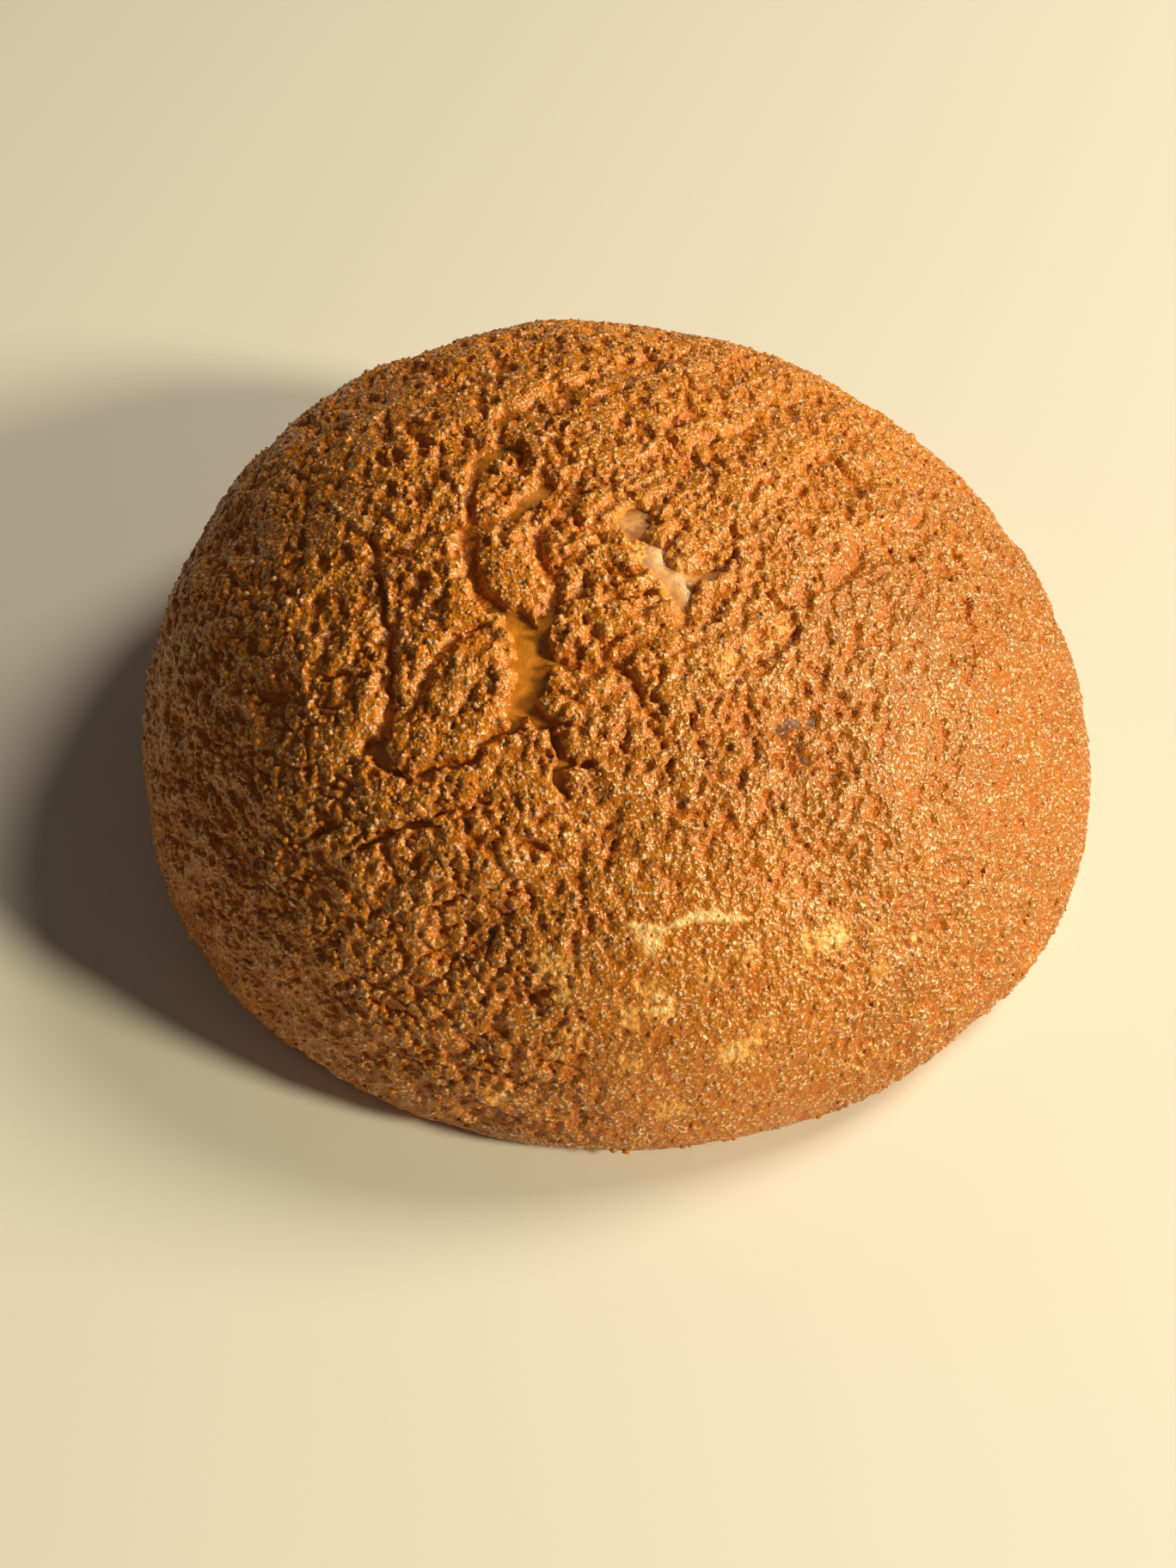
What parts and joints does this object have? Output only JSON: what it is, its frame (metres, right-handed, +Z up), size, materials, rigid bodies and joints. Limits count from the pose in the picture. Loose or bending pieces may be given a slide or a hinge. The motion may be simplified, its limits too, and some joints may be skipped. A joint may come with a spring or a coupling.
{
  "type": "coffee bun",
  "caption": "Domed coffee bun, a round bread roll under a crackled golden-brown cookie crust, resting on its flat base.",
  "frame": {"origin": "middle of the bun's flat base, on the surface it stands on", "axes": "+Z up through the crown, +X to the right and -Y towards the side that shows the crackle"},
  "size_m": [0.1027, 0.1068, 0.0447],
  "materials": {
    "baked_crust": "grainy baked cookie crust, golden brown, slightly glistening"
  },
  "bodies": {
    "root": {"coffee_bun": "baked_crust"}
  },
  "joints": []
}
